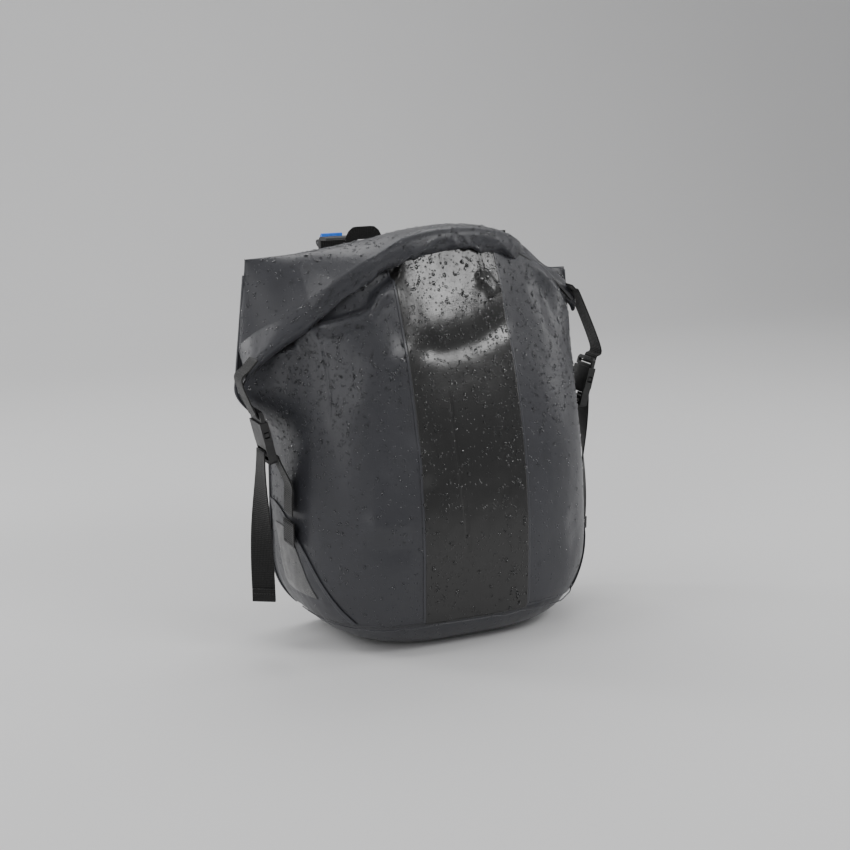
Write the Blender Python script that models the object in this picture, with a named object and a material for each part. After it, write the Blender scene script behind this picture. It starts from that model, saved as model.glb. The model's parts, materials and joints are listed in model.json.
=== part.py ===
"""Roll-top bicycle pannier bag that hangs from a rack tube by two hooks.

Frame: +X points to the front of the bicycle, +Y towards the wheel, +Z up. The origin is the centre of
the rack rail's rear face. Lengths below are in millimetres, and MM turns them into metres.
"""

import math

import bmesh
import bpy
from mathutils import Matrix, Vector

MM = 0.001
GAP = 0.3

# Bag body
HALF_WIDTH = 177.0
NECK_NARROWING = 14.0
BACK_Y = -8.0
BELLY_DEPTH = 152.0
NECK_DEPTH = 62.0
BELLY_Z = -310.0
NECK_Z = 20.0
BOTTOM_Z = -396.0
SIDE_RADIUS = 90.0
FRONT_RADIUS = 46.0
SEAM_Z = -362.0
WALL = 2.4
BOARD = 2.5
BACK_TOP_Z = 14.0
DROOP_X = (124.6, 152.0)
DROOP = 30.0
BACK_SHARE = 0.974
TAPE = 0.9
FLAP_GAP = 0.7
LAYER_GAP = 1.0
STRIPE_HALF = 61.0

# Ears: the flat folded ends of the neck, which stand out past the sides. (x, y) at each height
EAR_TOP_Z = 13.0
EAR_LOW_Z = -115.0
EAR_FADE_Z = -180.0
EAR_TOP = {-1: (200.0, -9.0), 1: (182.0, -9.0)}
EAR_LOW = {-1: (225.0, -42.0), 1: (184.0, -28.0)}

# Rolled closure, from its left end to its right end
ROLL_X = (-221.0, 174.0)
ROLL_PEAK_X = 18.0
ROLL_TOP_Z = 31.0
ROLL_DROP = (139.0, 84.0)
ROLL_Y = -66.0
ROLL_END_Y = -56.0
ROLL_HALF_HEIGHT = 12.0
ROLL_END_HEIGHT = 13.0
ROLL_HALF_DEPTH = 10.0
ROLL_WALL = 4.0
NECK_REACH = 0.9
NECK_LEFT = 196.0
NECK_RIGHT = 170.0


# Rack rail and hooks
RAIL_HALF_LENGTH = 118.0
RAIL_BACK_Y = 0.0
RAIL_HALF_HEIGHT = 12.0
RAIL_HEAD = 10.0
RAIL_NECK = 7.0
HEAD_Y = -2.4
SHOE_Y = -4.2
SLIDE = 0.4
HOOK_X = {"left": -86.0, "right": 80.0}
HOOK_WIDTH = 34.0
THROAT_Y = (6.4, 23.0)
SEAT_Z = 25.5
HOOK_WALL = 4.2
LEVER_PIN = (31.4, 22.0)
LEVER_WIDTH = 24.0
PIN_RADIUS = 1.5
PIN_PLAY = 0.06

# Short lower rail with the hook that catches a rack strut
LOWER_RAIL_Z = -235.0
LOWER_RAIL_HALF = 80.0
LOWER_HOOK_X = 30.0

# Webbing and side-release buckles
WEBBING = 25.0
WEBBING_THICK = 1.6
BUCKLE_TOP = {-1: Vector((-214.0, -70.0, -133.0)), 1: Vector((203.0, -38.0, -118.0))}
BUCKLE_LEAN = 14.0
BUCKLE_WIDTH = 33.0
FEMALE_START = 11.5
LADDER_START = 37.0
FEMALE_END = 58.0
TAIL_LENGTH = 166.0
TAIL_TWIST = 60.0
ANCHOR_STANDOFF = 3.0
HANDLE_HALF = 112.0
HANDLE_WIDTH = 14.0
HANDLE_LIFT = 13.0
HANDLE_LIFT_X = -62.0


# ---------------------------------------------------------------- helpers

def clamp(value, low=0.0, high=1.0):
    return max(low, min(high, value))


def smooth(value):
    value = clamp(value)
    return value * value * (3 - 2 * value)


def lerp(a, b, share):
    return a + (b - a) * share


def material(name, colour, roughness, metallic=0.0):
    made = bpy.data.materials.new(name)
    made.use_nodes = True
    shader = made.node_tree.nodes["Principled BSDF"]
    shader.inputs["Base Color"].default_value = (*colour, 1.0)
    shader.inputs["Roughness"].default_value = roughness
    shader.inputs["Metallic"].default_value = metallic
    return made


def make_object(name, bm, mat, body=None):
    """Closes a bmesh in millimetres into an object whose origin is its body's joint."""
    bmesh.ops.recalc_face_normals(bm, faces=bm.faces)
    origin = body.location.copy() if body else Vector()
    bm.transform(Matrix.Scale(MM, 4))
    bm.transform(Matrix.Translation(-origin))
    mesh = bpy.data.meshes.new(name)
    bm.to_mesh(mesh)
    bm.free()
    mesh.materials.append(mat)
    mesh.shade_smooth()
    mesh.set_sharp_from_angle(angle=math.radians(35))
    obj = bpy.data.objects.new(name, mesh)
    bpy.context.scene.collection.objects.link(obj)
    if body:
        obj.parent = body
    return obj


def body_empty(name, joint):
    """An empty on a moving body's joint axis. Its pieces are parented to it."""
    empty = bpy.data.objects.new(name, None)
    empty.location = Vector(joint) * MM
    bpy.context.scene.collection.objects.link(empty)
    return empty


def add_loft(bm, rings, closed_path=False, split=False):
    """Skins a list of equal rings of points, and caps the two ends.

    split cuts the quads into triangles, so that both faces of a twisted strap bend along the same
    diagonals and the strap keeps its thickness.
    """
    made = [[bm.verts.new(p) for p in ring] for ring in rings]
    count = len(made[0])
    last = len(made) if closed_path else len(made) - 1
    for i in range(last):
        near, far = made[i], made[(i + 1) % len(made)]
        for j in range(count):
            k = (j + 1) % count
            if not split:
                bm.faces.new((near[j], near[k], far[k], far[j]))
            elif j < count / 2:
                bm.faces.new((near[j], near[k], far[k]))
                bm.faces.new((near[j], far[k], far[j]))
            else:
                bm.faces.new((near[j], near[k], far[j]))
                bm.faces.new((near[k], far[k], far[j]))
    if not closed_path:
        bm.faces.new(made[0][::-1])
        bm.faces.new(made[-1])


def loft(name, rings, mat, body=None, split=False):
    bm = bmesh.new()
    add_loft(bm, rings, split=split)
    return make_object(name, bm, mat, body)


def sheet(name, outer, inner, mat, body=None):
    """A thick sheet between two grids of points with the same layout."""
    bm = bmesh.new()
    sides = [[[bm.verts.new(p) for p in row] for row in grid] for grid in (outer, inner)]
    rows, columns = len(outer), len(outer[0])
    for side in sides:
        for i in range(rows - 1):
            for j in range(columns - 1):
                bm.faces.new((side[i][j], side[i][j + 1], side[i + 1][j + 1], side[i + 1][j]))
    edge = [(0, j) for j in range(columns)] + [(i, columns - 1) for i in range(1, rows)]
    edge += [(rows - 1, j) for j in range(columns - 2, -1, -1)] + [(i, 0) for i in range(rows - 2, 0, -1)]
    for (i, j), (k, m) in zip(edge, edge[1:] + edge[:1]):
        bm.faces.new((sides[0][i][j], sides[0][k][m], sides[1][k][m], sides[1][i][j]))
    return make_object(name, bm, mat, body)


def prism(name, outline, low, high, mat, body=None, axis="X"):
    """Extrudes an outline along an axis. The outline is (y, z) for X, (x, z) for Y and (x, y) for Z."""
    def point(pair, along):
        a, b = pair
        return {"X": (along, a, b), "Y": (a, along, b), "Z": (a, b, along)}[axis]

    return loft(name, [[point(p, low) for p in outline], [point(p, high) for p in outline]], mat, body)


def box_outline(a0, a1, b0, b1):
    return [(a0, b0), (a1, b0), (a1, b1), (a0, b1)]


def cylinder(name, start, end, radius, mat, body=None, sides=16):
    start, end = Vector(start), Vector(end)
    axis = (end - start).normalized()
    across = axis.orthogonal().normalized()
    other = axis.cross(across)

    def ring(centre):
        angles = [2 * math.pi * k / sides for k in range(sides)]
        return [centre + radius * (math.cos(t) * across + math.sin(t) * other) for t in angles]

    return loft(name, [ring(start), ring(end)], mat, body)


def strap(name, points, widths, mat, body=None, width=WEBBING, thick=WEBBING_THICK):
    """Flat webbing along points. widths holds each point's direction across the webbing."""
    points = [Vector(p) for p in points]
    rings = []
    for i, point in enumerate(points):
        along = (points[min(i + 1, len(points) - 1)] - points[max(i - 1, 0)]).normalized()
        across = Vector(widths[i] if isinstance(widths, list) else widths)
        across = (across - across.dot(along) * along).normalized() * width / 2
        normal = along.cross(across).normalized() * thick / 2
        rings.append([point - across - normal, point + across - normal,
                      point + across + normal, point - across + normal])
    return loft(name, rings, mat, body, split=isinstance(widths, list))


def cut(target, cutter):
    """Booleans a cutter out of a target and leaves the cutter as a hidden guide."""
    cutter.hide_render = True
    cutter.display_type = "WIRE"
    modifier = target.modifiers.new("cut_" + cutter.name, "BOOLEAN")
    modifier.operation = "DIFFERENCE"
    modifier.solver = "EXACT"
    modifier.object = cutter
    return target


def union(target, other):
    other.hide_render = True
    other.display_type = "WIRE"
    modifier = target.modifiers.new("join_" + other.name, "BOOLEAN")
    modifier.operation = "UNION"
    modifier.solver = "EXACT"
    modifier.object = other
    return target


# ---------------------------------------------------------------- body shape

def half_width(z):
    width = HALF_WIDTH - NECK_NARROWING * smooth((z + 160) / 180)
    corner_z = BOTTOM_Z + SIDE_RADIUS
    if z < corner_z:
        fall = min(corner_z - z, SIDE_RADIUS)
        width -= SIDE_RADIUS - math.sqrt(SIDE_RADIUS**2 - fall**2)
    return width


def depth(z):
    rise = clamp((z - BELLY_Z) / (NECK_Z - BELLY_Z), 0.0, 1.2)
    deep = BELLY_DEPTH - (BELLY_DEPTH - NECK_DEPTH) * rise**2
    corner_z = BOTTOM_Z + FRONT_RADIUS
    if z < corner_z:
        fall = min(corner_z - z, FRONT_RADIUS)
        deep -= FRONT_RADIUS - math.sqrt(FRONT_RADIUS**2 - fall**2)
    return deep


def squareness(z):
    return lerp(2.3, 3.4, clamp(-z / 330))


def ear_tip(side, z):
    """(distance out, y) of the neck's folded edge at height z, on the side -1 or 1."""
    share = clamp((EAR_TOP_Z - z) / (EAR_TOP_Z - EAR_LOW_Z))
    fade = smooth((z - EAR_FADE_Z) / (EAR_LOW_Z - EAR_FADE_Z))
    x = lerp(EAR_TOP[side][0], EAR_LOW[side][0], share)
    y = lerp(EAR_TOP[side][1], EAR_LOW[side][1], share)
    return lerp(half_width(z), x, fade), lerp(BACK_Y, y, fade)


def front_point(angle, z, inset=0.0):
    """A point on the front half of the section at z. angle runs from 0 at +X to pi at -X."""
    width, deep, power = half_width(z) - inset, depth(z) - inset, 2 / squareness(z)
    c, s = math.cos(angle), math.sin(angle)
    side = 1 if c >= 0 else -1
    x, y = side * width * abs(c) ** power, BACK_Y - deep * s**power
    tip_x, tip_y = ear_tip(side, z)
    pull = (1 - s) ** 5
    return Vector((x + side * (tip_x - half_width(z)) * pull, y + (tip_y - BACK_Y) * pull, z))


def back_point(share, z, inset=0.0):
    """A point on the back of the section. share runs from -1 to 1 across it."""
    side = 1 if share >= 0 else -1
    tip_x, tip_y = ear_tip(side, z)
    pull = clamp((abs(share) - 0.8) / 0.2) ** 2
    x = share * (half_width(z) - inset) + side * (tip_x - half_width(z)) * pull
    return Vector((x, BACK_Y + (tip_y - BACK_Y) * pull - inset, z))


def roll_fall(x):
    """How far the roll's centre at x lies below its peak."""
    end = 0 if x < ROLL_PEAK_X else 1
    return ROLL_DROP[end] * ((x - ROLL_PEAK_X) / (ROLL_X[end] - ROLL_PEAK_X)) ** 2


def roll_point(share):
    """Centre of the rolled closure. share runs from -1 to 1 along it."""
    low, high = ROLL_X
    x = share * (high - low) / 2 + share**2 * (high + low) / 2
    return Vector((x, lerp(ROLL_Y, ROLL_END_Y, share**2), ROLL_TOP_Z - roll_fall(x)))


def rim_z(x):
    """Height of the mouth's front edge, which lies just under the roll."""
    slope = abs(x - ROLL_PEAK_X) / (ROLL_X[1] - ROLL_PEAK_X)
    return ROLL_TOP_Z - roll_fall(x) - lerp(16.0, 28.0, clamp(slope))


def stripe_angle(z):
    return math.acos((STRIPE_HALF / half_width(z)) ** (squareness(z) / 2))


def gusset_angle(z):
    share = lerp(0.46, 0.64, clamp(-z / 330))
    return math.asin(share ** (squareness(z) / 2))


def rim_top(share, angle):
    return rim_z(front_point(angle, -60).x)


def front_sheet(name, edges, mat, grid, top=rim_top, low=SEAM_Z + GAP, outer=0.0, inner=WALL):
    """A panel on the front wall between two angles, each a function of height.

    top gives its upper edge from the share of the way across it and the angle there.
    """
    start, end = edges
    columns, rows = grid

    def points(inset):
        made = []
        for i in range(rows + 1):
            row = []
            for j in range(columns + 1):
                share = j / columns
                high = top(share, lerp(start(-60), end(-60), share))
                z = lerp(high, low, i / rows)
                row.append(front_point(lerp(start(z), end(z), share), z, inset))
            made.append(row)
        return made

    return sheet(name, points(outer), points(inner), mat)


# ---------------------------------------------------------------- soft panels

SEAM_GAP = 0.0016


def build_front(mats):
    def edge(z):
        return 0.002

    def seam(angle, way):
        return lambda z: angle(z) + way * SEAM_GAP

    def left(angle):
        return lambda z: math.pi - angle(z)

    outer, inner = seam(gusset_angle, -1), seam(gusset_angle, 1)
    beside, stripe = seam(stripe_angle, -1), seam(stripe_angle, 1)
    front_sheet("front_gusset", (edge, outer), mats["grey"], (6, 14))
    front_sheet("front_panel_right", (inner, beside), mats["grey"], (7, 14))
    front_sheet("centre_stripe", (stripe, left(stripe)), mats["stripe"], (6, 14))
    front_sheet("front_panel_left", (left(beside), left(inner)), mats["grey"], (7, 14))
    front_sheet("rear_gusset", (left(outer), left(edge)), mats["grey"], (6, 14))

    def band(angle, half, way=1):
        edges = [lambda z, s=s: angle(z) + s * half / half_width(z) for s in (-1, 1)]
        return edges if way > 0 else [left(e) for e in reversed(edges)]

    raised = {"outer": -GAP - TAPE, "inner": -GAP}
    for way, word in ((1, "right"), (-1, "left")):
        front_sheet(f"stripe_weld_{word}", band(stripe_angle, 4.0, way), mats["tape"], (1, 14), **raised)
        for part, mat, angles, heights, grid, layer in (
                ("side_flap", "grey", (0.02, 0.62), (-262.0, SEAM_Z + 8), (8, 8), 0),
                ("reflector", "reflector", (0.07, 0.26), (-284.0, -318.0), (4, 4), 1)):
            edges = [lambda z, a=a: a if way > 0 else math.pi - a for a in angles[::way]]
            tops = heights[::way]
            base = -FLAP_GAP - layer * (TAPE + LAYER_GAP)
            front_sheet(f"{part}_{word}", edges, mats[mat], grid, outer=base - TAPE, inner=base,
                        top=lambda share, angle, t=tops: lerp(t[0], t[1], share),
                        low=SEAM_Z + 2 * GAP + layer * 14)
    front_sheet("bottom_seam_tape", (lambda z: 0.05, lambda z: math.pi - 0.05), mats["tape"], (26, 1),
                top=lambda share, angle: SEAM_Z - 1.0, low=SEAM_Z - 9.0, **raised)


def back_top(x):
    """Height of the back panel's top edge. It droops at the right end, past the rail."""
    return BACK_TOP_Z - DROOP * smooth((x - DROOP_X[0]) / (DROOP_X[1] - DROOP_X[0]))


def build_back(mats):
    shares = [BACK_SHARE * (-1 + 2 * j / 20) for j in range(21)]
    outer = [[back_point(s, lerp(back_top(s * HALF_WIDTH), SEAM_Z + GAP, i / 16)) for s in shares]
             for i in range(17)]
    inner = [[p + Vector((0, -WALL, 0)) for p in row] for row in outer]
    sheet("back_panel", outer, inner, mats["grey"])
    front = BACK_Y - WALL - GAP
    board = rounded_board(130.0, -354.0, 6.0, 55.0)
    prism("back_board", board, front - BOARD, front, mats["board"], axis="Y")


def rounded_board(half, low, high, radius):
    """Outline of a board with two round lower corners, as (x, z)."""
    steps = 6
    right = [(half - radius + radius * math.cos(t), low + radius + radius * math.sin(t))
             for t in (-math.pi / 2 + math.pi / 2 * k / steps for k in range(steps + 1))]
    left = [(-x, z) for x, z in reversed(right)]
    return right + [(half, high), (-half, high)] + left


def bottom_ring(z, inset):
    """A whole section of the bottom tray as a loop of points."""
    front = [front_point(math.pi * k / 24, z, inset) for k in range(25)]
    back = [back_point(-1 + 2 * k / 8, z) for k in range(1, 8)]
    for p in back + [front[0], front[-1]]:
        p.y = BACK_Y - inset
    return front + back


def build_bottom(mats):
    """The bottom panel is a tray: a wall from the seam down, and a flat base."""
    shares = [math.sin(math.pi / 2 * k / 5) for k in range(6)]
    heights = [lerp(SEAM_Z, BOTTOM_Z, s) for s in shares]
    outer = [bottom_ring(z, 0.0) for z in heights]
    inner = [bottom_ring(z, WALL) for z in heights]
    for ring, share in zip(inner, shares):
        for p in ring:
            p.z = lerp(SEAM_Z, BOTTOM_Z + WALL, share)
    loft("bottom_panel", outer[::-1] + inner, mats["grey"])
    base = BOTTOM_Z + WALL + GAP
    corners = [(1, 0.08), (1, 0.5), (0.84, 0.9), (-0.84, 0.9), (-1, 0.5), (-1, 0.08)]
    board = [(76 * x, BACK_Y - WALL - 88 * y) for x, y in corners]
    prism("bottom_board", board, base, base + BOARD, mats["board"], axis="Z")


def roll_axes(share):
    """(along, back, up) of the roll at share."""
    step = 0.01
    along = (roll_point(share + step) - roll_point(share - step)).normalized()
    back = Vector((0, 1, 0))
    back = (back - back.dot(along) * along).normalized()
    return along, back, along.cross(back)


def roll_height(share):
    return lerp(ROLL_HALF_HEIGHT, ROLL_END_HEIGHT, abs(share))


def neck_point(share, along, lift=0.0):
    """The neck from the back panel's top (along 0) over to the roll (along 1)."""
    fall = abs(share) ** 2
    x = share * (NECK_LEFT if share < 0 else NECK_RIGHT)
    top = back_top(x)
    low = Vector((x, BACK_Y - 0.6, top + GAP))
    crest = Vector((1.02 * x, -14.0 - 12 * abs(share) ** 4, top + 34 - 30 * fall))
    at = share * NECK_REACH
    _, back, up = roll_axes(at)
    roll = roll_point(at) + back * ROLL_HALF_DEPTH * 0.5 + up * (roll_height(at) * 0.87 + 1.2)
    point = (1 - along) ** 2 * low + 2 * along * (1 - along) * crest + along**2 * roll
    tangent = 2 * (1 - along) * (crest - low) + 2 * along * (roll - crest)
    outward = tangent.cross(Vector((1, 0, 0))).normalized()
    return point + outward * lift


def build_neck(mats, roll_top):
    shares = [-1 + 2 * j / 24 for j in range(25)]
    alongs = [i / 8 for i in range(9)]
    outer = [[neck_point(s, a, WALL) for s in shares] for a in alongs]
    inner = [[neck_point(s, a) for s in shares] for a in alongs]
    sheet("neck_panel", outer, inner, mats["grey"], roll_top)


def roll_ring(share, shrink=0.0, sides=14):
    """A section of the roll, square to its centre line."""
    _, back, up = roll_axes(share)
    high = roll_height(share) - shrink
    deep = ROLL_HALF_DEPTH - shrink
    centre = roll_point(share)
    angles = [2 * math.pi * k / sides for k in range(sides)]
    return [centre + deep * math.cos(t) * back + high * math.sin(t) * up for t in angles]


def build_roll(mats, roll_top):
    """The roll is a tube of rolled fabric, open at both ends, around the mouth's flat stiffener."""
    shares = [-1 + 2 * i / 28 for i in range(29)]
    outer = [roll_ring(s) for s in shares]
    inner = [roll_ring(s, ROLL_WALL) for s in reversed(shares)]
    bm = bmesh.new()
    add_loft(bm, outer + inner, closed_path=True)
    make_object("rolled_closure", bm, mats["grey"], roll_top)
    centres = [roll_point(s * 0.96) for s in shares]
    strap("mouth_stiffener", centres, (0, 1, 0), mats["black"], roll_top, width=6.0, thick=1.8)


# ---------------------------------------------------------------- webbing and buckles

def buckle_axes(side):
    """(top, down, across, out) of a buckle. It leans in towards the bag as it goes down."""
    lean = math.radians(BUCKLE_LEAN)
    out = Vector((side * math.cos(lean), 0, -math.sin(lean)))
    down = Vector((-side * math.sin(lean), 0, -math.cos(lean)))
    return BUCKLE_TOP[side], down, Vector((0, 1, 0)), out


def buckle_slab(name, side, outline, thick, mat, body=None):
    """Extrudes an outline of (across, down) pairs by a thickness centred on the buckle's plane."""
    top, down, across, out = buckle_axes(side)

    def ring(offset):
        return [top + across * a + down * b + out * offset for a, b in outline]

    return loft(name, [ring(-thick / 2), ring(thick / 2)], mat, body)


def male_outline():
    """The male half: a webbing frame, two barbed prongs and a guide between them."""
    half = BUCKLE_WIDTH / 2
    right = [(half - 3, 0), (half, 3), (half, 11), (13.2, 11), (13.2, 22), (16.3, 23), (16.3, 27),
             (13.2, 28), (12.4, 33), (10.4, 33), (10.0, 12), (2.6, 12), (2.6, 29), (1.6, 31)]
    return right + [(-a, b) for a, b in reversed(right)]


def female_outline():
    half = BUCKLE_WIDTH / 2
    right = [(half, FEMALE_START), (half, 35), (half - 1, 37), (half - 1, FEMALE_END - 3),
             (half - 4, FEMALE_END)]
    return right + [(-a, b) for a, b in reversed(right)]


def build_buckle(side, label, mats, roll_top, female_body):
    half = BUCKLE_WIDTH / 2
    black = mats["black"]
    male = buckle_slab(label + "_buckle_male", side, male_outline(), 4.4, black, roll_top)
    cut(male, buckle_slab(label + "_bar_slot", side, box_outline(-13.2, 13.2, 4.0, 8.0), 20, black, roll_top))
    female = buckle_slab(label + "_buckle_female", side, female_outline(), 9.0, black, female_body)
    pocket = box_outline(-half + 2.4, half - 2.4, 5, 35)
    window = box_outline(-half - 5, half + 5, 21.6, 28.5)
    cut(female, buckle_slab(label + "_pocket", side, pocket, 5.2, black, female_body))
    cut(female, buckle_slab(label + "_window", side, window, 5.2, black, female_body))
    for number, b in enumerate((LADDER_START + 4, LADDER_START + 12), 1):
        hole = box_outline(-13.2, 13.2, b, b + 4.4)
        cut(female, buckle_slab(f"{label}_ladder_slot_{number}", side, hole, 20, black, female_body))


def build_side(side, label, mats, roll_top, female_body, tail_body):
    """One side's webbing: roll tab, side strap, anchor patch and hanging strap tail."""
    build_buckle(side, label, mats, roll_top, female_body)
    top, down, across, out = buckle_axes(side)
    y = top.y
    tab = []
    for share in (0.93, 0.965, 1.0):
        _, _, up = roll_axes(side * share)
        tab.append(roll_point(side * share) + up * (roll_height(share) + WEBBING_THICK / 2 + 0.5))
    tab += [top + out * 7 - down * 14, top + out * 4.6 - down * 2, top + out * 3.6 + down * 4.8,
            top + out * 0.3 + down * 6.2]
    strap(label + "_roll_tab", [Vector((p.x, y, p.z)) for p in tab], across, mats["webbing"], roll_top)

    ladder = top + down * LADDER_START
    wall = [Vector((side * (half_width(z) + ANCHOR_STANDOFF), y, z)) for z in (-216, -232, -250)]
    path = [ladder + down * 13.0 - out * 0.2, ladder + down * 14.6 - out * 6.4, ladder + down * 24 - out * 8]
    path += wall
    strap(label + "_side_strap", path, across, mats["webbing"])
    patch = [p + Vector((-side * 0.1, 0, 0)) for p in wall]
    low = patch[-1] + Vector((0, 0, -7))
    strap(label + "_anchor_patch", [low, low + Vector((0, 0, -26))], across, mats["black"],
          width=31.0, thick=1.6)

    tail_top = ladder + down * 6.2 + out * 6.0
    steps = 8
    points, widths = [], []
    for k in range(steps + 1):
        share = k / steps
        twist = math.radians(side * TAIL_TWIST * smooth(share * 1.15))
        points.append(tail_top + Vector((0, 0, -TAIL_LENGTH * share)))
        widths.append(Vector((math.sin(twist), math.cos(twist), 0)))
    strap(label + "_strap_tail", points, widths, mats["webbing"], tail_body)
    fold = widths[-1].cross(Vector((0, 0, 1))).normalized() * side * (WEBBING_THICK + GAP)
    hem = [points[-1] + fold, points[-1] + fold + Vector((0, 0, 14))]
    strap(label + "_strap_hem", hem, widths[-1], mats["webbing"], tail_body)


# ---------------------------------------------------------------- rails and hooks

def rail_outline(z):
    """A rail's section, (y, z): a base on the back panel and a wider head that shoes slide on."""
    base, high, head, neck = BACK_Y + GAP, RAIL_HALF_HEIGHT, RAIL_HEAD, RAIL_NECK
    half = [(base, high), (-4.8, high), (-4.8, neck), (HEAD_Y, neck), (HEAD_Y, head), (RAIL_BACK_Y, head)]
    return [(y, z + h) for y, h in half] + [(y, z - h) for y, h in reversed(half)]


def shoe_lower(z, outer):
    """The part of a shoe's section, (y, z), that runs inside and around a rail's head, top to bottom."""
    head, neck = RAIL_HEAD + SLIDE, RAIL_NECK + SLIDE
    half = [(SHOE_Y, head + 3.2), (SHOE_Y, neck), (HEAD_Y - SLIDE, neck), (HEAD_Y - SLIDE, head), (SLIDE, head)]
    return ([(y, z + h) for y, h in half] + [(y, z - h) for y, h in reversed(half)]
            + [(outer, z - head - 3.2)])


def build_rail(name, z, half_length, screw_xs, mats):
    rail = prism(name, rail_outline(z), -half_length, half_length, mats["black"])
    soft = [bpy.data.objects["back_panel"], bpy.data.objects["back_board"]]
    for number, x in enumerate(screw_xs, 1):
        hole = cylinder(f"{name}_hole_{number}", (x, 6, z), (x, -20, z), 2.9, mats["steel"])
        recess = cylinder(f"{name}_recess_{number}", (x, 6, z), (x, -1.9, z), 5.2, mats["steel"])
        cut(rail, hole)
        cut(rail, recess)
        for panel in soft:
            cut(panel, hole)
        screw = cylinder(f"{name}_screw_{number}", (x, -0.3, z), (x, -1.6, z), 4.9, mats["steel"])
        union(screw, cylinder(f"{name}_shank_{number}", (x, -1.0, z), (x, -16, z), 2.5, mats["steel"]))
    for side, word in ((-1, "rear"), (1, "front")):
        low, high = sorted((side * (half_length + GAP), side * (half_length + 6)))
        cap = box_outline(BACK_Y + GAP, 1.5, z - 13.0, z + 13.0)
        prism(f"{name}_cap_{word}", cap, low, high, mats["black"])


def hook_outline():
    """A hook's section, (y, z): a shoe around the rail's head and an arch over the rack tube."""
    inner, outer = THROAT_Y
    reach = HOOK_WALL + 3
    arc = [(outer - 3 + reach * math.cos(t), SEAT_Z - 3 + reach * math.sin(t))
           for t in (math.pi / 2 * k / 6 for k in range(7))]
    front = inner - HOOK_WALL
    return [(inner, SEAT_Z), (outer, SEAT_Z), (outer, 11.0), (outer + HOOK_WALL, 11.0), *arc,
            (front + 3, SEAT_Z + HOOK_WALL), (front, SEAT_Z + HOOK_WALL - 3), (front, 13.6),
            *shoe_lower(0.0, inner)]


def lever_outline():
    """The release lever's section, (y, z): a pull above the pin and a claw under the rack tube."""
    return [(34.8, 29.0), (34.8, 8.0), (32.4, 3.6), (26.0, 2.2), (18.4, 4.4), (18.6, 6.6), (25.4, 7.2),
            (28.4, 10.0), (28.4, 31.8), (32.0, 31.8)]


def build_hook(label, mats, hook_body, lever_body):
    x = HOOK_X[label]
    half = HOOK_WIDTH / 2
    y, z = LEVER_PIN
    hook = prism(f"hook_{label}", hook_outline(), x - half, x + half, mats["black"], hook_body)
    for side in (-1, 1):
        low, high = sorted((x + side * (LEVER_WIDTH / 2 + GAP), x + side * half))
        ear = [(THROAT_Y[1] + 1, z - 6), (y, z - 3.4), (y + 3.2, z - 1), (y + 3.2, z + 2), (y, z + 3.6),
               (THROAT_Y[1] + 1, z + 3.6)]
        word = "near" if side < 0 else "far"
        union(hook, prism(f"hook_{label}_ear_{word}", ear, low, high, mats["black"], hook_body))
    hole = cylinder(f"hook_{label}_pin_hole", (x - 30, y, z), (x + 30, y, z), PIN_RADIUS + PIN_PLAY,
                    mats["steel"], hook_body)
    cut(hook, hole)
    cylinder(f"lever_pin_{label}", (x - half + 0.5, y, z), (x + half - 0.5, y, z), PIN_RADIUS, mats["steel"],
             hook_body)
    spring = [(x, 27.75, z + 1.8), (x, 27.6, z + 4), (x, 27.0, z + 7)]
    strap(f"lever_spring_{label}", spring, (1, 0, 0), mats["steel"], hook_body, width=10.0, thick=0.5)
    inner, outer = THROAT_Y
    liner = [(inner + GAP, SEAT_Z - GAP), (inner + GAP, SEAT_Z - 7), (inner + 2.4, SEAT_Z - 7),
             (inner + 2.4, SEAT_Z - 2.4), (outer - 2.4, SEAT_Z - 2.4), (outer - 2.4, SEAT_Z - 7),
             (outer - GAP, SEAT_Z - 7), (outer - GAP, SEAT_Z - GAP)]
    prism(f"hook_insert_{label}", liner, x - half + 1, x + half - 1, mats["insert"], hook_body)
    lever = prism(f"lever_{label}", lever_outline(), x - LEVER_WIDTH / 2, x + LEVER_WIDTH / 2, mats["blue"],
                  lever_body)
    cut(lever, cylinder(f"lever_{label}_bore", (x - 30, y, z), (x + 30, y, z), PIN_RADIUS + PIN_PLAY,
                        mats["steel"], lever_body))


def build_lower_hook(mats, slider_body, arm_body):
    x, z = LOWER_HOOK_X, LOWER_RAIL_Z
    top = RAIL_HEAD + SLIDE + 3.2
    outline = [(4.2, z + top), *shoe_lower(z, 4.2)]
    slider = prism("lower_slider", outline, x - 15, x + 15, mats["black"], slider_body)
    arm = [(-14, 4.8), (30, 4.8), (30, 22.8), (12, 22.8), (12, 18.8), (26, 18.8), (26, 8.8), (-14, 8.8)]
    hook = prism("lower_hook", [(x + a, b) for a, b in arm], z - 12, z + 12, mats["black"], arm_body, axis="Z")
    bore = cylinder("lower_bore", (x, 0.8, z), (x, 30, z), 2.5, mats["steel"], arm_body)
    cut(hook, bore)
    cut(slider, bore)
    screw = cylinder("lower_screw", (x, 9.1, z), (x, 11.4, z), 5.0, mats["steel"], slider_body)
    union(screw, cylinder("lower_shank", (x, 1.2, z), (x, 10, z), 2.42, mats["steel"], slider_body))


def build_handle(mats):
    """The carry handle: webbing standing on edge between the hooks and the neck."""
    points = []
    for k in range(57):
        x = lerp(-HANDLE_HALF, HANDLE_HALF, k / 56)
        lift = HANDLE_LIFT * math.exp(-(((x - HANDLE_LIFT_X) / 15) ** 4))
        points.append((x, -2.6, BACK_TOP_Z + 0.6 + HANDLE_WIDTH / 2 + lift))
    strap("carry_handle", points, (0, 0, 1), mats["webbing"], width=HANDLE_WIDTH)


# ---------------------------------------------------------------- build

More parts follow.
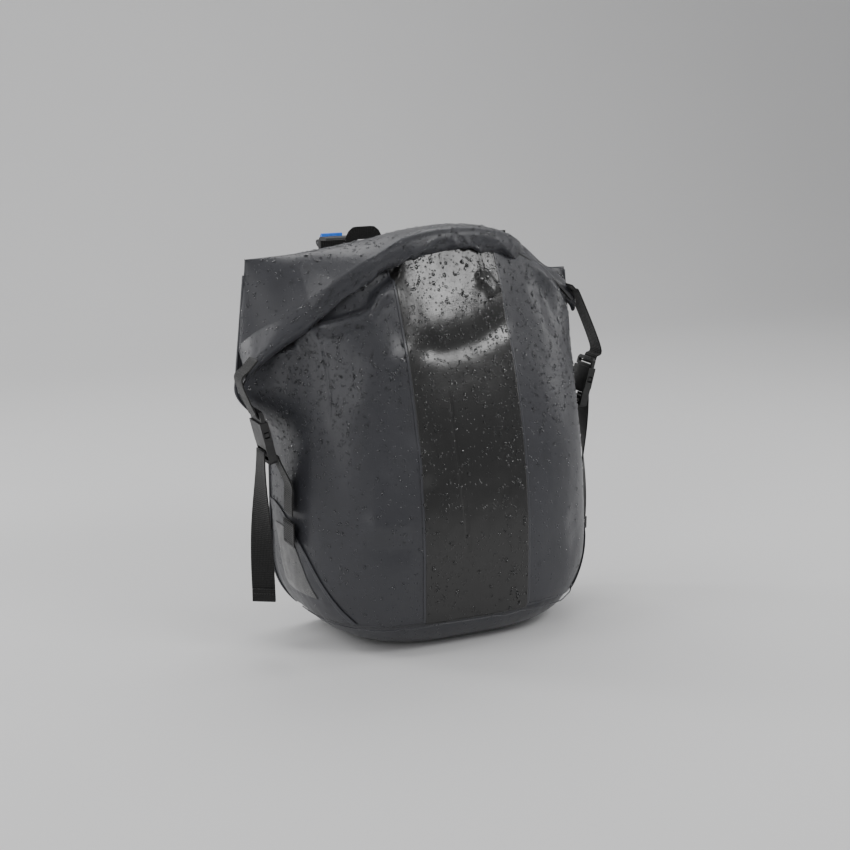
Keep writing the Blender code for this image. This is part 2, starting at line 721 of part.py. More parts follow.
def build():
    for obj in list(bpy.data.objects):
        bpy.data.objects.remove(obj)
    mats = {
        "grey": material("grey_coated_fabric", (0.070, 0.072, 0.082), 0.5),
        "stripe": material("black_coated_fabric", (0.018, 0.018, 0.017), 0.3),
        "tape": material("weld_tape", (0.085, 0.087, 0.097), 0.45),
        "reflector": material("reflective_patch", (0.05, 0.05, 0.05), 0.35),
        "webbing": material("black_webbing", (0.012, 0.012, 0.011), 0.85),
        "black": material("black_plastic", (0.015, 0.015, 0.015), 0.45),
        "board": material("board_plastic", (0.05, 0.05, 0.05), 0.6),
        "steel": material("steel", (0.55, 0.55, 0.56), 0.3, 1.0),
        "blue": material("blue_plastic", (0.02, 0.18, 0.75), 0.4),
        "insert": material("grey_plastic", (0.2, 0.2, 0.2), 0.5),
    }
    roll_top = body_empty("roll_top_frame", (0, BACK_Y, BACK_TOP_Z + GAP))
    build_front(mats)
    build_back(mats)
    build_bottom(mats)
    build_neck(mats, roll_top)
    build_roll(mats, roll_top)
    for side, label in ((-1, "left"), (1, "right")):
        top, down, across, out = buckle_axes(side)
        female_body = body_empty(label + "_buckle_frame", top + down * FEMALE_START)
        tail_body = body_empty(label + "_tail_frame", top + down * (LADDER_START + 6.2) + out * 6.0)
        build_side(side, label, mats, roll_top, female_body, tail_body)
    build_rail("rack_rail", 0.0, RAIL_HALF_LENGTH, (-108.0, -36.0, 36.0, 108.0), mats)
    build_rail("lower_rail", LOWER_RAIL_Z, LOWER_RAIL_HALF, (-66.0, 66.0), mats)
    for label, x in HOOK_X.items():
        hook_body = body_empty(f"hook_{label}_frame", (x, RAIL_BACK_Y, 0))
        lever_body = body_empty(f"lever_{label}_frame", (x, *LEVER_PIN))
        build_hook(label, mats, hook_body, lever_body)
    slider_body = body_empty("lower_slider_frame", (LOWER_HOOK_X, 0, LOWER_RAIL_Z))
    arm_body = body_empty("lower_hook_frame", (LOWER_HOOK_X, 6.8, LOWER_RAIL_Z))
    build_lower_hook(mats, slider_body, arm_body)
    build_handle(mats)


build()
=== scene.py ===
"""Looks of the pannier bag: wet coated fabric, webbing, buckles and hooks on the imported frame.

Shapes are worked out in millimetres in the CAD's own frame and scaled to metres as meshes are made.
"""
import math
import random

import bmesh
import bpy
import numpy as np
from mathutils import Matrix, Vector, noise
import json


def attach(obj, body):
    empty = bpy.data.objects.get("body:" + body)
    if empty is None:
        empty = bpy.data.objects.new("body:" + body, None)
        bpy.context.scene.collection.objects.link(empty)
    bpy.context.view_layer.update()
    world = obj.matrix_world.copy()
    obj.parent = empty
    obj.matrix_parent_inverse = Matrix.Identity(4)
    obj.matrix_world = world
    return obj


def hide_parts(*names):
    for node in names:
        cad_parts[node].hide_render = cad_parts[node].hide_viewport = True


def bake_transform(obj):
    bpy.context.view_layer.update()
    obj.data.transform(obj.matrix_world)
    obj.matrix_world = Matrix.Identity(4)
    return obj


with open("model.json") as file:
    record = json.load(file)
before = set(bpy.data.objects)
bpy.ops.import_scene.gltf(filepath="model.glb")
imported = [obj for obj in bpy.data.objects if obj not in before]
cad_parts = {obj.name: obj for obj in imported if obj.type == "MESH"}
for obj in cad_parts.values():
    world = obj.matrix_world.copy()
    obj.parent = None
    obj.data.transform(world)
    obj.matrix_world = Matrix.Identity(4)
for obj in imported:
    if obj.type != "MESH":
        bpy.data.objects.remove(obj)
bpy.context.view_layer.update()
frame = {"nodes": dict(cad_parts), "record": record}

MM = 0.001

# ---------------------------------------------------------------- the bag's own sizes, as in the CAD

HALF_WIDTH = 177.0
NECK_NARROWING = 14.0
BACK_Y = -8.0
BELLY_DEPTH = 152.0
NECK_DEPTH = 62.0
BELLY_Z = -310.0
NECK_Z = 20.0
BOTTOM_Z = -396.0
SIDE_RADIUS = 90.0
FRONT_RADIUS = 46.0
SEAM_Z = -362.0
BACK_TOP_Z = 14.0
DROOP_X = (124.6, 152.0)
DROOP = 30.0
STRIPE_HALF = 61.0
EAR_TOP_Z = 13.0
EAR_LOW_Z = -115.0
EAR_FADE_Z = -180.0
EAR_TOP = {-1: (200.0, -9.0), 1: (182.0, -9.0)}
EAR_LOW = {-1: (225.0, -42.0), 1: (184.0, -28.0)}
ROLL_X = (-221.0, 174.0)
ROLL_PEAK_X = 18.0
ROLL_TOP_Z = 31.0
ROLL_DROP = (139.0, 84.0)
ROLL_Y = -66.0
ROLL_END_Y = -56.0
ROLL_HALF_HEIGHT = 12.0
ROLL_END_HEIGHT = 13.0
ROLL_HALF_DEPTH = 10.0
NECK_REACH = 0.9
NECK_LEFT = 196.0
NECK_RIGHT = 170.0
WEBBING = 25.0
WEBBING_THICK = 1.6
BUCKLE_TOP = {-1: Vector((-214.0, -70.0, -133.0)), 1: Vector((203.0, -38.0, -118.0))}
BUCKLE_LEAN = 14.0
LADDER_START = 37.0
TAIL_LENGTH = 166.0
TAIL_TWIST = 60.0
ANCHOR_STANDOFF = 3.0
HANDLE_HALF = 112.0
HANDLE_WIDTH = 14.0
HANDLE_LIFT = 13.0
HANDLE_LIFT_X = -62.0
SIDES = {"left": -1, "right": 1}

# ---------------------------------------------------------------- sizes that only the looks need

FABRIC = 1.3
TAPE = 0.7
LEAF_TOP_Z = -247.0
HANDLE_LIFT_FOOT = 19.0
HANDLE_LIFT_SLOPE = 9.0
DROP_SIZES = (0.5, 2.1)
STRIPE_DROP_SIZES = (0.55, 2.4)
DROP_HEIGHT = 0.62
STITCH_RADIUS = 0.36
STITCH_END_RADIUS = 0.12


# ---------------------------------------------------------------- small helpers

def clamp(value, low=0.0, high=1.0):
    return max(low, min(high, value))


def smooth(value):
    value = clamp(value)
    return value * value * (3 - 2 * value)


def lerp(a, b, share):
    return a + (b - a) * share


# ---------------------------------------------------------------- body shape

def half_width(z):
    width = HALF_WIDTH - NECK_NARROWING * smooth((z + 160) / 180)
    corner_z = BOTTOM_Z + SIDE_RADIUS
    if z < corner_z:
        fall = min(corner_z - z, SIDE_RADIUS)
        width -= SIDE_RADIUS - math.sqrt(SIDE_RADIUS**2 - fall**2)
    return width


def depth(z):
    rise = clamp((z - BELLY_Z) / (NECK_Z - BELLY_Z), 0.0, 1.2)
    deep = BELLY_DEPTH - (BELLY_DEPTH - NECK_DEPTH) * rise**2
    corner_z = BOTTOM_Z + FRONT_RADIUS
    if z < corner_z:
        fall = min(corner_z - z, FRONT_RADIUS)
        deep -= FRONT_RADIUS - math.sqrt(FRONT_RADIUS**2 - fall**2)
    return deep


def squareness(z):
    return lerp(2.3, 3.4, clamp(-z / 330))


def ear_tip(side, z):
    share = clamp((EAR_TOP_Z - z) / (EAR_TOP_Z - EAR_LOW_Z))
    fade = smooth((z - EAR_FADE_Z) / (EAR_LOW_Z - EAR_FADE_Z))
    x = lerp(EAR_TOP[side][0], EAR_LOW[side][0], share)
    y = lerp(EAR_TOP[side][1], EAR_LOW[side][1], share)
    return lerp(half_width(z), x, fade), lerp(BACK_Y, y, fade)


def front_point(angle, z):
    """A point on the front of the section at z. angle runs from 0 at +X to pi at -X."""
    width, deep, power = half_width(z), depth(z), 2 / squareness(z)
    c, s = math.cos(angle), max(math.sin(angle), 0.0)
    side = 1 if c >= 0 else -1
    x, y = side * width * abs(c) ** power, BACK_Y - deep * s**power
    tip_x, tip_y = ear_tip(side, z)
    pull = (1 - s) ** 5
    return Vector((x + side * (tip_x - width) * pull, y + (tip_y - BACK_Y) * pull, z))


def back_point(share, z):
    side = 1 if share >= 0 else -1
    tip_x, tip_y = ear_tip(side, z)
    pull = clamp((abs(share) - 0.8) / 0.2) ** 2
    x = share * half_width(z) + side * (tip_x - half_width(z)) * pull
    return Vector((x, BACK_Y + (tip_y - BACK_Y) * pull, z))


def roll_fall(x):
    end = 0 if x < ROLL_PEAK_X else 1
    return ROLL_DROP[end] * ((x - ROLL_PEAK_X) / (ROLL_X[end] - ROLL_PEAK_X)) ** 2


def roll_point(share):
    low, high = ROLL_X
    x = share * (high - low) / 2 + share**2 * (high + low) / 2
    return Vector((x, lerp(ROLL_Y, ROLL_END_Y, share**2), ROLL_TOP_Z - roll_fall(x)))


def roll_axes(share):
    """(back, up) of the roll at share, both square to its centre line."""
    step = 0.01
    along = (roll_point(share + step) - roll_point(share - step)).normalized()
    back = Vector((0, 1, 0))
    back = (back - back.dot(along) * along).normalized()
    return back, along.cross(back)


def roll_height(share):
    return lerp(ROLL_HALF_HEIGHT, ROLL_END_HEIGHT, abs(share))


def back_top(x):
    return BACK_TOP_Z - DROOP * smooth((x - DROOP_X[0]) / (DROOP_X[1] - DROOP_X[0]))


def stripe_angle(z):
    return math.acos((STRIPE_HALF / half_width(z)) ** (squareness(z) / 2))


# ---------------------------------------------------------------- sculpting in code

class Line:
    """A fold's line on the front, through (x, z) points, with the distance of every point to it."""

    def __init__(self, x, z, points):
        points = np.array(points, float)
        lengths = np.hypot(*(points[1:] - points[:-1]).T)
        best = np.full(x.shape, 1e9)
        self.side = np.zeros(x.shape)
        self.run = np.zeros(x.shape)
        done = 0.0
        for a, b, length in zip(points[:-1], points[1:], lengths):
            way = (b - a) / length
            ahead = np.clip((x - a[0]) * way[0] + (z - a[1]) * way[1], 0, length)
            off_x, off_z = x - a[0] - way[0] * ahead, z - a[1] - way[1] * ahead
            far = np.hypot(off_x, off_z)
            near = far < best
            best = np.where(near, far, best)
            self.side = np.where(near, np.sign(way[0] * off_z - way[1] * off_x), self.side)
            self.run = np.where(near, (done + ahead) / lengths.sum(), self.run)
            done += length
        self.far = best

    def ends(self, share=0.18):
        """Fades a fold out at its two ends."""
        t = np.clip(np.minimum(self.run, 1 - self.run) / share, 0, 1)
        return t * t * (3 - 2 * t)

    def ridge(self, height, width, share=0.18):
        return height * np.exp(-((self.far / width) ** 2)) * self.ends(share)

    def crease(self, height, width, share=0.18):
        """A sharp fold with straight flanks."""
        return height * np.clip(1 - self.far / width, 0, 1) ** 1.4 * self.ends(share)

    def step(self, height, edge, reach, share=0.18):
        """A ledge on the line's left side, which fades out over reach."""
        signed = self.far * self.side
        rise = 0.5 + 0.5 * np.tanh(signed / edge)
        return height * rise * np.exp(-((np.maximum(signed, 0) / reach) ** 2)) * self.ends(share)


def rumple(points, size, stretch=(1, 1, 1), seed=0.0):
    """Smooth noise from -1 to 1 at each point, with lumps of a size in millimetres."""
    scaled = points / size * np.array(stretch) + seed
    return np.array([noise.noise(Vector(p)) for p in scaled.reshape(-1, 3)]).reshape(points.shape[:-1])


def grid_normals(grid):
    across = np.gradient(grid, axis=1)
    down = np.gradient(grid, axis=0)
    normals = np.cross(across, down)
    return normals / np.maximum(np.linalg.norm(normals, axis=2, keepdims=True), 1e-9)


def raise_grid(grid, heights):
    return grid + grid_normals(grid) * heights[..., None]


# folds seen on the front, as (x, z) in millimetres
POCKET_FOLD = [(-178, -60), (-140, -47), (-112, -39), (-93, -33), (-82, -18), (-58, -2), (-48, 16)]
POCKET_LIP = [(-62, -10), (-84, -27), (-96, -42), (-120, -48), (-150, -58)]
EYELET = [(-190, -78), (-178, -72), (-164, -66)]
SIDE_CREASE = [(-143, -66), (-142, -90), (-142, -120), (-146, -150)]
BELLY_FOLD = [(-60, -62), (-92, -96), (-120, -150)]
LOW_DENT = [(-128, -240), (-104, -256), (-70, -250)]
MID_DENT = [(-112, -176), (-84, -194), (-76, -226)]
SHOULDER_FOLD = [(98, 2), (122, -12), (145, -34), (158, -60), (160, -96)]
SHOULDER_CREASE = [(104, -8), (126, -40), (132, -90)]
STRIPE_BROW = [(-58, -70), (-20, -78), (20, -72), (50, -58), (70, -44)]
STRIPE_CREASE = [(30, -6), (44, -16), (52, -30)]
STRIPE_LINE = [(-21, -118), (-20, -180), (-15, -240), (-11, -292)]
RIGHT_DENT = [(120, -262), (140, -290), (128, -322)]


def front_heights(grid):
    """How far the front fabric stands out from its plain shape, in millimetres."""
    x, z = grid[..., 0], grid[..., 2]

    def line(points):
        return Line(x, z, points)

    high = 1.5 * rumple(grid, 85, seed=3.1) + 0.8 * rumple(grid, 34, (1, 1, 0.55), seed=8.4)
    high += 0.22 * rumple(grid, 11, (1, 1, 0.6), seed=1.7)
    high -= line(POCKET_FOLD).step(12.0, 2.4, 46, 0.1)
    high += line(POCKET_LIP).ridge(4.6, 7)
    eyelet = line(EYELET)
    high -= eyelet.ridge(9.0, 3.6, 0.3)
    high += 3.4 * np.exp(-(((eyelet.far - 7.5) / 3.4) ** 2)) * eyelet.ends(0.3)
    high -= line(SIDE_CREASE).crease(0.5, 1.8)
    high += line(BELLY_FOLD).ridge(4.4, 20, 0.3)
    high += line(LOW_DENT).ridge(3.4, 12, 0.35)
    high -= line([(a + 4, b - 22) for a, b in LOW_DENT]).ridge(3.0, 15, 0.35)
    high -= line(MID_DENT).ridge(3.2, 15, 0.35)
    high += line([(a + 22, b + 6) for a, b in MID_DENT]).ridge(2.2, 16, 0.35)
    high += line(SHOULDER_FOLD).crease(4.6, 20, 0.25)
    high -= line(SHOULDER_CREASE).ridge(2.8, 12, 0.3)
    high -= line(STRIPE_BROW).ridge(2.6, 13, 0.2)
    high += line(STRIPE_CREASE).crease(3.4, 12, 0.3)
    high -= line(RIGHT_DENT).ridge(2.6, 16, 0.35)
    return high


def front_top(x):
    """Height where the front fabric goes in under the roll."""
    shoulder = smooth((x - 84) / 26)
    return ROLL_TOP_Z - roll_fall(x) + lerp(-3.0, 7.0, shoulder)


def front_grid(start, end, top, low, columns, rows):
    """Points of the front between two angles and two heights, each a function or a number."""
    def at(value, *given):
        return value(*given) if callable(value) else value

    grid = np.zeros((rows + 1, columns + 1, 3))
    for j in range(columns + 1):
        share = j / columns
        guide = front_point(lerp(at(start, -60), at(end, -60), share), -60)
        high = at(top, guide.x)
        for i in range(rows + 1):
            z = lerp(high, at(low, guide.x), i / rows)
            grid[i, j] = front_point(lerp(at(start, z), at(end, z), share), z)
    return grid


# ---------------------------------------------------------------- meshes

def new_object(name, verts, faces, mat, uvs=None):
    mesh = bpy.data.meshes.new(name)
    mesh.from_pydata((np.asarray(verts) * MM).tolist(), [], faces)
    if uvs is not None:
        layer = mesh.uv_layers.new(name="UVMap")
        index = np.zeros(len(mesh.loops), int)
        mesh.loops.foreach_get("vertex_index", index)
        layer.data.foreach_set("uv", np.asarray(uvs, float)[index].ravel())
    mesh.materials.append(mat)
    mesh.validate()
    mesh.shade_smooth()
    obj = bpy.data.objects.new(name, mesh)
    bpy.context.scene.collection.objects.link(obj)
    return obj


def grid_uvs(grid):
    """Distances across and down the cloth, in metres, so that a weave keeps its size."""
    across = np.linalg.norm(np.diff(grid, axis=1), axis=2).mean(0)
    down = np.linalg.norm(np.diff(grid, axis=0), axis=2).mean(1)
    u = np.concatenate([[0], np.cumsum(across)]) * MM
    v = np.concatenate([[0], np.cumsum(down)]) * MM
    return np.stack(np.meshgrid(u, v), -1)


def skin(name, grid, mat, thick=FABRIC):
    """A closed sheet of cloth: the grid outside, a copy of it inside, and its edges folded over."""
    rows, columns = grid.shape[:2]
    inner = grid - grid_normals(grid) * thick
    verts = np.concatenate([grid.reshape(-1, 3), inner.reshape(-1, 3)])
    uvs = np.concatenate([grid_uvs(grid).reshape(-1, 2)] * 2)
    half = rows * columns
    faces = []
    for i in range(rows - 1):
        for j in range(columns - 1):
            a, b = i * columns + j, i * columns + j + 1
            c, d = b + columns, a + columns
            faces += [(a, b, c, d), (a + half, d + half, c + half, b + half)]
    edge = [j for j in range(columns)] + [i * columns + columns - 1 for i in range(1, rows)]
    edge += [(rows - 1) * columns + j for j in range(columns - 2, -1, -1)]
    edge += [i * columns for i in range(rows - 2, 0, -1)]
    for a, b in zip(edge, edge[1:] + edge[:1]):
        faces.append((b, a, a + half, b + half))
    return new_object(name, verts, faces, mat, uvs)


def tube(name, points, radius, mat, sides=10):
    """A round bead along points."""
    points = [Vector(p) for p in points]
    verts, faces = [], []
    for i, p in enumerate(points):
        along = (points[min(i + 1, len(points) - 1)] - points[max(i - 1, 0)]).normalized()
        a = along.orthogonal().normalized() if i == 0 else (a - a.dot(along) * along).normalized()
        b = along.cross(a)
        for k in range(sides):
            t = 2 * math.pi * k / sides
            verts.append(p + radius * (math.cos(t) * a + math.sin(t) * b))
    for i in range(len(points) - 1):
        for k in range(sides):
            m, n = i * sides + k, i * sides + (k + 1) % sides
            faces.append((m, n, n + sides, m + sides))
    faces += [tuple(range(sides))[::-1], tuple(range(len(verts) - sides, len(verts)))]
    return new_object(name, [tuple(v) for v in verts], faces, mat)


def curve_through(points, steps):
    """A smooth path through points."""
    points = [Vector(p) for p in points]
    padded = [2 * points[0] - points[1], *points, 2 * points[-1] - points[-2]]
    made = []
    for a, b, c, d in zip(padded, padded[1:], padded[2:], padded[3:]):
        for k in range(steps):
            t = k / steps
            made.append(0.5 * (2 * b + (c - a) * t + (2 * a - 5 * b + 4 * c - d) * t**2
                               + (3 * b - a - 3 * c + d) * t**3))
    return [*made, points[-1]]


def ribbon(name, points, across, mat, width=WEBBING, thick=WEBBING_THICK):
    """Webbing along points: a flat woven strap with rounded selvedges and a slight crown."""
    points = [Vector(p) for p in points]
    half_section = [(-0.5, 0.0), (-0.492, 0.34), (-0.47, 0.48), (-0.44, 0.44), (-0.2, 0.5), (0.0, 0.5),
                    (0.2, 0.5), (0.44, 0.44), (0.47, 0.48), (0.492, 0.34)]
    section = half_section + [(-a, -b) for a, b in half_section]
    verts, uvs, faces, run = [], [], [], 0.0
    count = len(section)
    for i, p in enumerate(points):
        along = (points[min(i + 1, len(points) - 1)] - points[max(i - 1, 0)]).normalized()
        side = Vector(across[i] if isinstance(across, list) else across)
        side = (side - side.dot(along) * along).normalized()
        normal = along.cross(side).normalized()
        run += (p - points[max(i - 1, 0)]).length
        for a, b in section:
            verts.append(tuple(p + side * a * width + normal * b * thick))
            uvs.append((a * width * MM, run * MM))
    for i in range(len(points) - 1):
        for k in range(count):
            m, n = i * count + k, i * count + (k + 1) % count
            faces.append((m, n, n + count, m + count))
    faces += [tuple(range(count))[::-1], tuple(range(len(verts) - count, len(verts)))]
    return new_object(name, verts, faces, mat, uvs)


# ---------------------------------------------------------------- materials

class Nodes:
    """A material's node tree, with short calls to add nodes."""

    def __init__(self, name, roughness, **fixed):
        self.made = bpy.data.materials.new(name)
        self.made.use_nodes = True
        self.tree = self.made.node_tree
        self.shader = self.tree.nodes["Principled BSDF"]
        self.shader.inputs["Roughness"].default_value = roughness
        for key, value in fixed.items():
            self.shader.inputs[key.replace("_", " ").title().replace("Ior", "IOR")].default_value = value
        self.coords = self.tree.nodes.new("ShaderNodeTexCoord")

    def add(self, kind, inputs=None, **settings):
        made = self.tree.nodes.new("ShaderNode" + kind)
        for key, value in settings.items():
            setattr(made, key, value)
        for key, value in (inputs or {}).items():
            if isinstance(value, bpy.types.NodeSocket):
                self.tree.links.new(value, made.inputs[key])
            else:
                made.inputs[key].default_value = value
        return made

    def place(self, scale, space="Object"):
        return self.add("Mapping", {"Vector": self.coords.outputs[space], "Scale": scale}).outputs[0]

    def noise(self, scale, stretch=(1, 1, 1), detail=3.0, space="Object"):
        return self.add("TexNoise", {"Vector": self.place(stretch, space), "Scale": scale,
                                     "Detail": detail}).outputs["Fac"]

    def span(self, value, low, high, to_low=0.0, to_high=1.0):
        return self.add("MapRange", {"Value": value, "From Min": low, "From Max": high,
                                     "To Min": to_low, "To Max": to_high}).outputs[0]

    def math(self, way, a, b):
        return self.add("Math", {0: a, 1: b}, operation=way).outputs[0]

    def mix(self, share, a, b):
        made = self.add("Mix", data_type="RGBA")
        self.tree.links.new(share, made.inputs["Factor"])
        for socket, value in ((made.inputs[6], a), (made.inputs[7], b)):
            if isinstance(value, bpy.types.NodeSocket):
                self.tree.links.new(value, socket)
            else:
                socket.default_value = (*value, 1.0)
        return made.outputs[2]

    def bump(self, height, strength, distance, normal=None):
        inputs = {"Height": height, "Strength": strength, "Distance": distance}
        if normal is not None:
            inputs["Normal"] = normal
        return self.add("Bump", inputs).outputs[0]

    def set(self, socket, value):
        self.tree.links.new(value, self.shader.inputs[socket])
        return self


def shade(colour, amount):
    return tuple(c * amount for c in colour)


def fine_drops(made, amount):
    """Mist-sized drops: the middles of small cells, each kept or left out by its own random value."""
    cells = made.add("TexVoronoi", {"Vector": made.coords.outputs["Object"], "Scale": 300.0})
    dome = made.span(cells.outputs["Distance"], 0.36, 0.08)
    pick = made.span(cells.outputs["Color"], 1.0 - amount, 1.02 - amount)
    return made.math("MULTIPLY", dome, pick)


def coated_fabric(name, colour, roughness, drops, coat=0.12):
    """Coated cloth: a fine weave under a satin film, with cloudy tone, rub marks and fine drops."""
    made = Nodes(name, roughness, coat_weight=coat, coat_roughness=0.28, sheen_weight=0.06,
                 sheen_roughness=0.5, specular_ior_level=0.5)
    cloud = made.noise(11.0, detail=5.0)
    streak = made.noise(60.0, (1.0, 14.0, 0), 3.0, "UV")
    threads = made.noise(60.0, (16.0, 1.2, 0), 3.0, "UV")
    weave = made.math("ADD", streak, threads)
    base = made.mix(made.span(cloud, 0.3, 0.7), shade(colour, 0.84), shade(colour, 1.14))
    base = made.mix(made.span(weave, 0.75, 1.3), shade(colour, 0.92), base)
    worn = made.span(made.noise(46.0, detail=6.0), 0.6, 0.74)
    made.set("Base Color", made.mix(made.math("MULTIPLY", worn, 0.25), base, shade(colour, 1.5)))
    rough = made.span(cloud, 0.3, 0.72, roughness - 0.07, roughness + 0.09)
    drop = fine_drops(made, drops)
    made.set("Roughness", made.math("MULTIPLY", rough, made.span(drop, 0.0, 0.5, 1.0, 0.3)))
    normal = made.bump(weave, 0.16, 0.0004)
    normal = made.bump(made.noise(130.0, detail=4.0), 0.22, 0.0006, normal)
    made.set("Normal", made.bump(drop, 0.7, 0.0008, normal))
    return made.made


def webbing_fabric():
    """Black woven tape: warp and weft ribs under a little fuzz."""
    made = Nodes("webbing", 0.82, sheen_weight=0.25, sheen_roughness=0.4, specular_ior_level=0.3)
    uv = made.coords.outputs["UV"]
    warp = made.add("TexWave", {"Vector": uv, "Scale": 190.0, "Distortion": 0.0},
                    bands_direction="X").outputs["Fac"]
    weft = made.add("TexWave", {"Vector": uv, "Scale": 150.0, "Distortion": 0.6, "Detail": 1.0},
                    bands_direction="Y").outputs["Fac"]
    weave = made.math("MULTIPLY", warp, weft)
    fuzz = made.noise(900.0, detail=4.0)
    base = made.mix(weave, (0.006, 0.006, 0.006), (0.022, 0.022, 0.021))
    made.set("Base Color", made.mix(made.span(fuzz, 0.55, 0.8), base, (0.035, 0.035, 0.034)))
    made.set("Roughness", made.span(fuzz, 0.3, 0.7, 0.7, 0.92))
    normal = made.bump(weave, 0.8, 0.0006)
    made.set("Normal", made.bump(fuzz, 0.3, 0.0003, normal))
    return made.made


def plastic(name, colour, roughness, grain=0.3, **fixed):
    """Moulded plastic: fine spark-eroded grain, slight mottle, and rubbed paler edges."""
    made = Nodes(name, roughness, specular_ior_level=0.45, **fixed)
    mottle = made.noise(70.0, detail=4.0)
    base = made.mix(made.span(mottle, 0.3, 0.7), shade(colour, 0.85), shade(colour, 1.2))
    edge = made.add("NewGeometry").outputs["Pointiness"]
    worn = made.math("MULTIPLY", made.span(edge, 0.52, 0.6), made.span(mottle, 0.35, 0.6))
    made.set("Base Color", made.mix(made.math("MULTIPLY", worn, 0.6), base,
                                    tuple(c * 1.6 + 0.015 for c in colour)))
    made.set("Roughness", made.span(mottle, 0.3, 0.7, roughness - 0.06, roughness + 0.08))
    rounded = made.add("Bevel", {"Radius": 0.0005}, samples=4).outputs[0]
    made.set("Normal", made.bump(made.noise(1500.0, detail=2.0), grain, 0.0002, rounded))
    return made.made


def steel():
    made = Nodes("steel", 0.3, metallic=1.0)
    brushed = made.noise(300.0, (12.0, 1.0, 1.0), 3.0)
    spots = made.noise(60.0, detail=5.0)
    made.set("Base Color", made.mix(made.span(spots, 0.4, 0.7), (0.56, 0.56, 0.57), (0.4, 0.4, 0.41)))
    made.set("Roughness", made.span(brushed, 0.3, 0.7, 0.22, 0.42))
    made.set("Normal", made.bump(brushed, 0.12, 0.0002))
    return made.made


def reflective():
    """Dark reflective film: a fine honeycomb under a clear face, with scuffs."""
    made = Nodes("reflective_patch", 0.34, coat_weight=0.5, coat_roughness=0.12)
    cells = made.add("TexVoronoi", {"Vector": made.coords.outputs["Object"], "Scale": 700.0},
                     feature="DISTANCE_TO_EDGE").outputs["Distance"]
    scuff = made.noise(40.0, (1, 1, 4), 5.0)
    base = made.mix(made.span(cells, 0.0, 0.12), (0.09, 0.09, 0.09), (0.045, 0.045, 0.046))
    made.set("Base Color", made.mix(made.span(scuff, 0.55, 0.7), base, (0.075, 0.076, 0.08)))
    made.set("Roughness", made.span(scuff, 0.3, 0.7, 0.25, 0.45))
    made.set("Normal", made.bump(cells, 0.2, 0.0003))
    return made.made


def water():
    """Clear drops. A faint wide ripple keeps two drops from looking the same."""
    made = Nodes("water", 0.02, transmission_weight=1.0, ior=1.33)
    ripple = made.noise(500.0, detail=1.0)
    made.set("Base Color", made.mix(ripple, (0.93, 0.94, 0.95), (1.0, 1.0, 1.0)))
    made.set("Normal", made.bump(ripple, 0.08, 0.0003))
    return made.made


def thread():
    made = Nodes("stitching", 0.75, sheen_weight=0.2)
    twist = made.noise(1400.0, detail=2.0)
    made.set("Base Color", made.mix(twist, (0.012, 0.012, 0.012), (0.04, 0.04, 0.04)))
    made.set("Normal", made.bump(twist, 0.5, 0.0003))
    return made.made


GREY = (0.030, 0.031, 0.037)
mats = {
    "grey": coated_fabric("grey_fabric", GREY, 0.42, 0.28),
    "stripe": coated_fabric("stripe_fabric", (0.0085, 0.0085, 0.008), 0.24, 0.34, coat=0.3),
    # The weld tape is drawn 15% paler than the grey fabric. This paler tone is a painted highlight for
    # the thin light line that runs along the weld edges.
    "tape": coated_fabric("weld_tape", shade(GREY, 1.15), 0.36, 0.2),
    "webbing": webbing_fabric(),
    "black": plastic("black_plastic", (0.013, 0.013, 0.013), 0.42),
    "board": plastic("board_plastic", (0.05, 0.05, 0.05), 0.6, 0.15),
    "blue": plastic("blue_plastic", (0.015, 0.16, 0.72), 0.36),
    "insert": plastic("grey_plastic", (0.2, 0.2, 0.2), 0.5),
    "steel": steel(),
    "reflector": reflective(),
    "water": water(),
    "thread": thread(),
}


# ---------------------------------------------------------------- fabric of the bag

def finish_piece(obj, body, slot, *nodes):
    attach(obj, body)
    if nodes:
        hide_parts(*nodes)
    return obj


def left_of(angle):
    return lambda z: math.pi - angle(z)


def build_front():
    """Left and right front fabric, each round to the back edge, and the stripe welded between them."""
    def under(z):
        return stripe_angle(z) + 7 / half_width(z)

    right = front_grid(0.0, under, front_top, SEAM_Z - 1, 120, 190)
    left = front_grid(left_of(under), math.pi, front_top, SEAM_Z - 1, 150, 190)
    stripe = front_grid(stripe_angle, left_of(stripe_angle), front_top, SEAM_Z - 1, 90, 190)
    right, left = (raise_grid(g, front_heights(g)) for g in (right, left))
    high = front_heights(stripe) + 1.1
    high -= Line(stripe[..., 0], stripe[..., 2], STRIPE_LINE).crease(1.3, 2.6, 0.1)
    stripe = raise_grid(stripe, high)
    finish_piece(skin("front_fabric_right", right, mats["grey"]), "bag", "grey_fabric",
                 "front_gusset", "front_panel_right")
    finish_piece(skin("front_fabric_left", left, mats["grey"]), "bag", "grey_fabric",
                 "front_panel_left", "rear_gusset")
    finish_piece(skin("stripe_fabric", stripe, mats["stripe"], 0.9), "bag", "stripe_fabric",
                 "centre_stripe")
    return right, left, stripe


def patch(name, start, end, top, low, lift, mat, size=(10, 120), thick=TAPE, wave=0.0):
    """A strip or a flap welded on the front, which follows the fabric's own folds."""
    grid = front_grid(start, end, top, low, *size)
    heights = front_heights(grid) + lift
    if wave:
        heights += wave * rumple(grid, 9, seed=5.5)
    return skin(name, raise_grid(grid, heights), mat, thick)


def build_welds():
    def beside(way, near, far):
        def edges(offset):
            def angle(z):
                value = stripe_angle(z) + offset / half_width(z)
                return value if way > 0 else math.pi - value
            return angle
        return (edges(near), edges(far)) if way > 0 else (edges(far), edges(near))

    for label, way in (("right", 1), ("left", -1)):
        start, end = beside(way, -2.4, 0.5)
        weld = patch(f"stripe_weld_bead_{label}", start, end, front_top, SEAM_Z - 1, 0.75, mats["tape"],
                     (6, 190), wave=0.12)
        finish_piece(weld, "bag", "weld_tape", f"stripe_weld_{label}")


